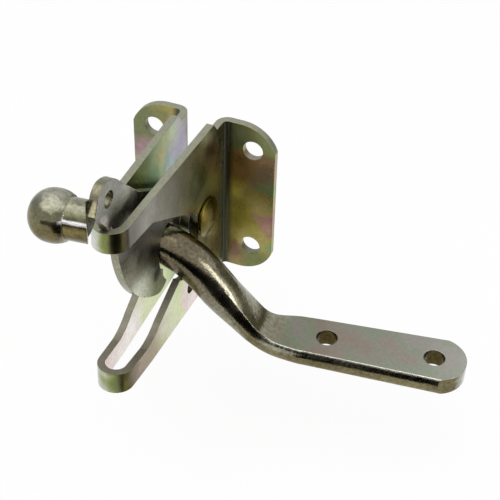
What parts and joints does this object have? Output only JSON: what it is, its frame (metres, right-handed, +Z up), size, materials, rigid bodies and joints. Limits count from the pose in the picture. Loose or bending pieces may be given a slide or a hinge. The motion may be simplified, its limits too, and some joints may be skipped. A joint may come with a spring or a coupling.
{
  "type": "automatic gate latch",
  "caption": "Automatic gate latch: folded sheet body screwed to a post, drop lever on a rivet with a side knob, and a cranked striker bar caught in its throat.",
  "frame": {"origin": "centre of the four post screw holes, on the post face of the latch body's flanges", "axes": "+Y into the post, so the nose points to -Y; +Z up; +X to the right of someone facing the post, the way the striker bar leaves"},
  "size_m": [0.1137, 0.0795, 0.0773],
  "materials": {
    "body_plating": "iridescent yellow passivated zinc plating on pressed steel sheet",
    "rivet_plating": "yellow passivated zinc plating, smooth",
    "lever_plating": "zinc plating with a pale iridescent tint over forged bar",
    "striker_plating": "smooth zinc plating with a pale iridescent tint over forged round bar"
  },
  "bodies": {
    "bracket": {"latch_body": "body_plating", "pivot_rivet": "rivet_plating"},
    "lever": {"latch_lever": "lever_plating"},
    "striker": {"striker_bar": "striker_plating"}
  },
  "joints": [
    {"name": "lever_lift", "type": "hinge", "parent": "bracket", "child": "lever", "pos_m": [0, -0.0148, -0.0002], "axis": [-1, 0, 0], "range_deg": [0, 52]},
    {"name": "striker_draw", "type": "slide", "parent": "bracket", "child": "striker", "axis": [0.9514, 0.1371, -0.2756], "range_m": [0, 0.04]}
  ]
}
